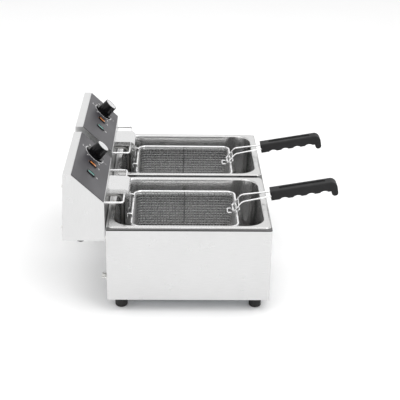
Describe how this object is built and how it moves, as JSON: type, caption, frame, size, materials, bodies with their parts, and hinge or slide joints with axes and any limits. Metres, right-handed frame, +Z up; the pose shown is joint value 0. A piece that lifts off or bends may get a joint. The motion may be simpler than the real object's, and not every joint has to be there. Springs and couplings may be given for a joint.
{
  "type": "deep fryer",
  "caption": "Countertop electric deep fryer with side-by-side lift-out oil pans, removable control heads, and wire baskets with folding handles.",
  "frame": {"origin": "on the worktop, under the middle of the fryer's overall box", "axes": "+Z up, +Y towards the control heads at the back, so the basket handles point to -Y; +X across the two pans, towards the right-hand pan as seen from the front"},
  "size_m": [0.55, 0.5822, 0.3062],
  "materials": {
    "casing_steel": "satin stainless sheet",
    "galvanised": "dull galvanised sheet",
    "foot_rubber": "matt black rubber",
    "zinc": "bright plated screws",
    "bracket_steel": "satin stainless plate",
    "terminal_metal": "plated terminal",
    "pan_steel": "polished stainless",
    "head_steel": "satin stainless sheet",
    "panel_print": "dark grey satin print",
    "amber_lens": "amber lens",
    "green_lens": "green lens",
    "black_moulding": "black moulding",
    "knob_black": "glossy black",
    "cap_silver": "spun face",
    "reset_red": "red button",
    "white_moulding": "white moulding",
    "element_steel": "heat-dulled tube",
    "guard_steel": "satin stainless sheet",
    "bulb_copper": "dull copper",
    "wire_bright": "bright plated wire",
    "mesh_wire": "plated woven wire",
    "grip_charcoal": "matt charcoal moulding"
  },
  "bodies": {
    "casing": {"casing_shell": "casing_steel", "back_panel": "casing_steel", "base_plate": "galvanised", "centre_divider": "galvanised", "feet": "foot_rubber", "foot_screws": "zinc", "casing_screws": "zinc", "support_brackets": "bracket_steel", "bonding_terminal": "terminal_metal"},
    "pan_left": {"oil_pan_left": "pan_steel"},
    "head_left": {"head_case_left": "head_steel", "head_cover_left": "head_steel", "control_panel_left": "panel_print", "lamp_amber_left": "amber_lens", "lamp_green_left": "green_lens", "thermostat_left": "black_moulding", "thermal_cutout_left": "black_moulding", "terminal_block_left": "white_moulding", "safety_switch_left": "black_moulding", "cable_gland_left": "black_moulding", "head_screws_left": "zinc", "heating_element_left": "element_steel", "element_guard_left": "guard_steel", "sensor_bulb_left": "bulb_copper", "basket_hanger_left": "wire_bright"},
    "knob_left": {"knob_left": "knob_black", "knob_cap_left": "cap_silver", "thermostat_shaft_left": "zinc"},
    "reset_left": {"reset_button_left": "reset_red"},
    "basket_left": {"basket_mesh_left": "mesh_wire", "basket_frame_left": "wire_bright"},
    "handle_left": {"handle_wires_left": "wire_bright", "handle_grip_left": "grip_charcoal"},
    "pan_right": {"oil_pan_right": "pan_steel"},
    "head_right": {"head_case_right": "head_steel", "head_cover_right": "head_steel", "control_panel_right": "panel_print", "lamp_amber_right": "amber_lens", "lamp_green_right": "green_lens", "thermostat_right": "black_moulding", "thermal_cutout_right": "black_moulding", "terminal_block_right": "white_moulding", "safety_switch_right": "black_moulding", "cable_gland_right": "black_moulding", "head_screws_right": "zinc", "heating_element_right": "element_steel", "element_guard_right": "guard_steel", "sensor_bulb_right": "bulb_copper", "basket_hanger_right": "wire_bright"},
    "knob_right": {"knob_right": "knob_black", "knob_cap_right": "cap_silver", "thermostat_shaft_right": "zinc"},
    "reset_right": {"reset_button_right": "reset_red"},
    "basket_right": {"basket_mesh_right": "mesh_wire", "basket_frame_right": "wire_bright"},
    "handle_right": {"handle_wires_right": "wire_bright", "handle_grip_right": "grip_charcoal"}
  },
  "joints": [
    {"name": "pan_lift_left", "type": "slide", "parent": "casing", "child": "pan_left", "axis": [0, 0, 1], "range_m": [0, 0.17]},
    {"name": "head_lift_left", "type": "slide", "parent": "pan_left", "child": "head_left", "axis": [0, 0, 1], "range_m": [0, 0.16]},
    {"name": "basket_lift_left", "type": "slide", "parent": "head_left", "child": "basket_left", "axis": [0, 0, 1], "range_m": [0, 0.15]},
    {"name": "handle_fold_left", "type": "hinge", "parent": "basket_left", "child": "handle_left", "pos_m": [-0.138, -0.06694, 0.1763], "axis": [-1, 0, 0], "range_deg": [0, 148]},
    {"name": "knob_turn_left", "type": "hinge", "parent": "head_left", "child": "knob_left", "pos_m": [-0.076, 0.23438, 0.27407], "axis": [0, 0.6874, -0.7262], "range_deg": [0, 300]},
    {"name": "reset_press_left", "type": "slide", "parent": "head_left", "child": "reset_left", "axis": [0, -0.9992, -0.0409], "range_m": [0, 0.0015], "stiffness_N_per_m": 400},
    {"name": "pan_lift_right", "type": "slide", "parent": "casing", "child": "pan_right", "axis": [0, 0, 1], "range_m": [0, 0.17]},
    {"name": "head_lift_right", "type": "slide", "parent": "pan_right", "child": "head_right", "axis": [0, 0, 1], "range_m": [0, 0.16]},
    {"name": "basket_lift_right", "type": "slide", "parent": "head_right", "child": "basket_right", "axis": [0, 0, 1], "range_m": [0, 0.15]},
    {"name": "handle_fold_right", "type": "hinge", "parent": "basket_right", "child": "handle_right", "pos_m": [0.138, -0.06694, 0.1763], "axis": [-1, 0, 0], "range_deg": [0, 148]},
    {"name": "knob_turn_right", "type": "hinge", "parent": "head_right", "child": "knob_right", "pos_m": [0.2, 0.23438, 0.27407], "axis": [0, 0.6874, -0.7262], "range_deg": [0, 300]},
    {"name": "reset_press_right", "type": "slide", "parent": "head_right", "child": "reset_right", "axis": [0, -0.9992, -0.0409], "range_m": [0, 0.0015], "stiffness_N_per_m": 400}
  ]
}
